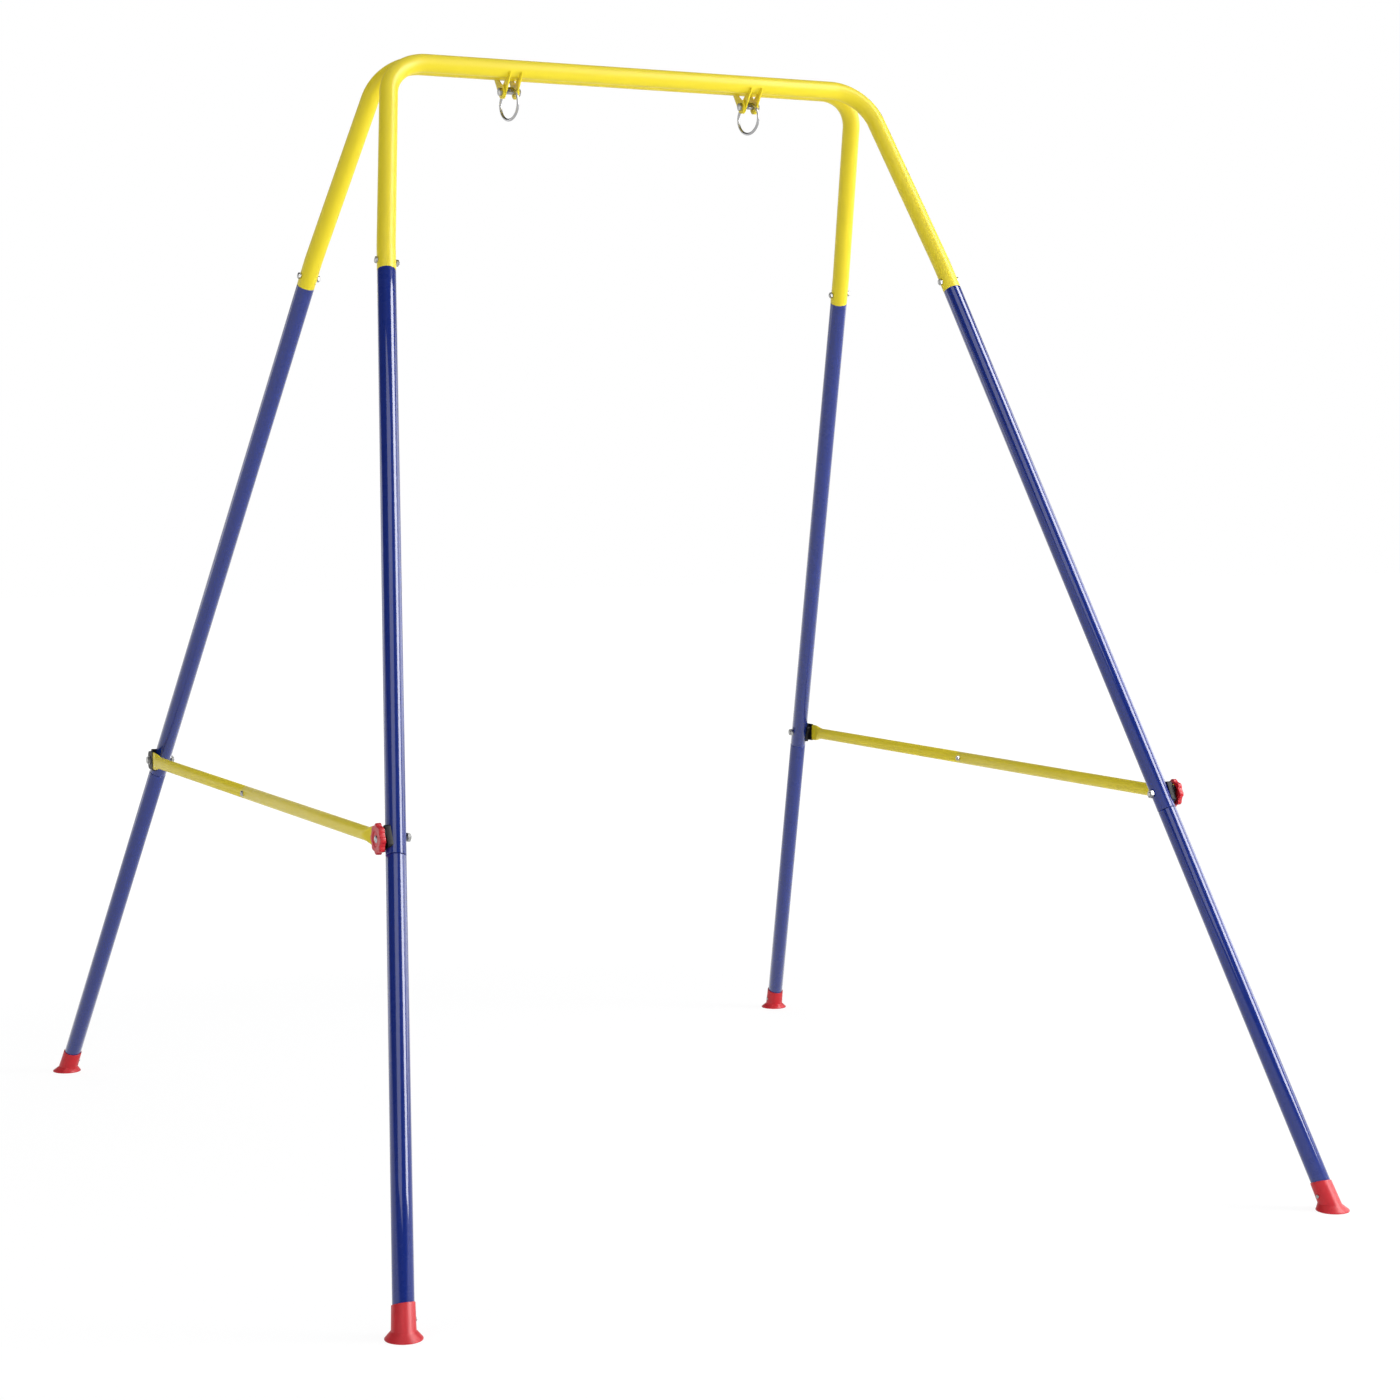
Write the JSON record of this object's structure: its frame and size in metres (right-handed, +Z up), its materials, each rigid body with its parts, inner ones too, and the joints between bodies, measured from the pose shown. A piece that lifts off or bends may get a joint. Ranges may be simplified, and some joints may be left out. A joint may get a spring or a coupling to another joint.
{
  "type": "indoor swing frame",
  "caption": "Folding A-shaped swing frame of bent and splayed round tubes, with side crossbars, lobed clamp knobs, flared feet and rings to hang a swing from.",
  "frame": {"origin": "on the floor under the middle of the top tubes, midway between the feet", "axes": "+X along the top tubes to the right as seen from the front, +Y to the back, +Z up; the front faces -Y and carries the knobs"},
  "size_m": [1.6806, 2.0746, 1.94],
  "materials": {
    "yellow_steel": "glossy yellow powder coat",
    "blue_steel": "glossy dark blue powder coat",
    "red_plastic": "moulded red plastic, slightly glossy",
    "black_plastic": "moulded black plastic, matte",
    "zinc_steel": "bright zinc-plated steel",
    "chrome_wire": "bright plated steel"
  },
  "bodies": {
    "back_frame": {"top_tube_back": "yellow_steel", "joint_bolts_back": "zinc_steel", "joint_nuts_back": "zinc_steel", "foot_screws_back": "zinc_steel", "upper_leg_back_left": "blue_steel", "lower_leg_back_left": "blue_steel", "foot_back_left": "red_plastic", "saddle_back_left": "black_plastic", "hanger_straps_back_left": "yellow_steel", "upper_leg_back_right": "blue_steel", "lower_leg_back_right": "blue_steel", "foot_back_right": "red_plastic", "saddle_back_right": "black_plastic", "hanger_straps_back_right": "yellow_steel", "hanger_bolt_left": "zinc_steel", "hanger_nut_left": "zinc_steel", "pivot_bolt_left": "zinc_steel", "pivot_nut_left": "zinc_steel", "hanger_bolt_right": "zinc_steel", "hanger_nut_right": "zinc_steel", "pivot_bolt_right": "zinc_steel", "pivot_nut_right": "zinc_steel"},
    "front_frame": {"top_tube_front": "yellow_steel", "joint_bolts_front": "zinc_steel", "joint_nuts_front": "zinc_steel", "foot_screws_front": "zinc_steel", "upper_leg_front_left": "blue_steel", "lower_leg_front_left": "blue_steel", "foot_front_left": "red_plastic", "saddle_front_left": "black_plastic", "hanger_straps_front_left": "yellow_steel", "upper_leg_front_right": "blue_steel", "lower_leg_front_right": "blue_steel", "foot_front_right": "red_plastic", "saddle_front_right": "black_plastic", "hanger_straps_front_right": "yellow_steel", "knob_nut_left": "zinc_steel", "knob_nut_right": "zinc_steel"},
    "ring_left": {"ring_left": "chrome_wire"},
    "crossbar_left": {"crossbar_front_left": "yellow_steel", "crossbar_rear_left": "yellow_steel", "splice_bolt_left": "zinc_steel", "splice_nut_left": "zinc_steel", "end_cap_front_left": "black_plastic", "end_cap_back_left": "black_plastic"},
    "knob_left": {"knob_left": "red_plastic", "knob_bolt_left": "chrome_wire"},
    "ring_right": {"ring_right": "chrome_wire"},
    "crossbar_right": {"crossbar_front_right": "yellow_steel", "crossbar_rear_right": "yellow_steel", "splice_bolt_right": "zinc_steel", "splice_nut_right": "zinc_steel", "end_cap_front_right": "black_plastic", "end_cap_back_right": "black_plastic"},
    "knob_right": {"knob_right": "red_plastic", "knob_bolt_right": "chrome_wire"}
  },
  "joints": [
    {"name": "fold", "type": "hinge", "parent": "back_frame", "child": "front_frame", "pos_m": [0, 0, 1.886], "axis": [1, 0, 0], "range_deg": [0, 54]},
    {"name": "crossbar_left_lift", "type": "hinge", "parent": "back_frame", "child": "crossbar_left", "pos_m": [-0.69707, 0.66931, 0.6648], "axis": [1, 0, 0], "range_deg": [-63, 0]},
    {"name": "knob_left_turn", "type": "hinge", "parent": "front_frame", "child": "knob_left", "pos_m": [-0.69707, -0.66931, 0.6648], "axis": [1, 0, 0], "continuous": true},
    {"name": "ring_left_swing", "type": "hinge", "parent": "back_frame", "child": "ring_left", "pos_m": [-0.236, 0, 1.886], "axis": [1, 0, 0], "range_deg": [-60, 60]},
    {"name": "crossbar_right_lift", "type": "hinge", "parent": "back_frame", "child": "crossbar_right", "pos_m": [0.69707, 0.66931, 0.6648], "axis": [1, 0, 0], "range_deg": [-63, 0]},
    {"name": "knob_right_turn", "type": "hinge", "parent": "front_frame", "child": "knob_right", "pos_m": [0.69707, -0.66931, 0.6648], "axis": [1, 0, 0], "continuous": true},
    {"name": "ring_right_swing", "type": "hinge", "parent": "back_frame", "child": "ring_right", "pos_m": [0.236, 0, 1.886], "axis": [1, 0, 0], "range_deg": [-60, 60]}
  ],
  "couplings": [
    {"joint": "crossbar_left_lift", "follows": "fold", "ratio": -1.1648},
    {"joint": "crossbar_right_lift", "follows": "fold", "ratio": -1.1648}
  ]
}
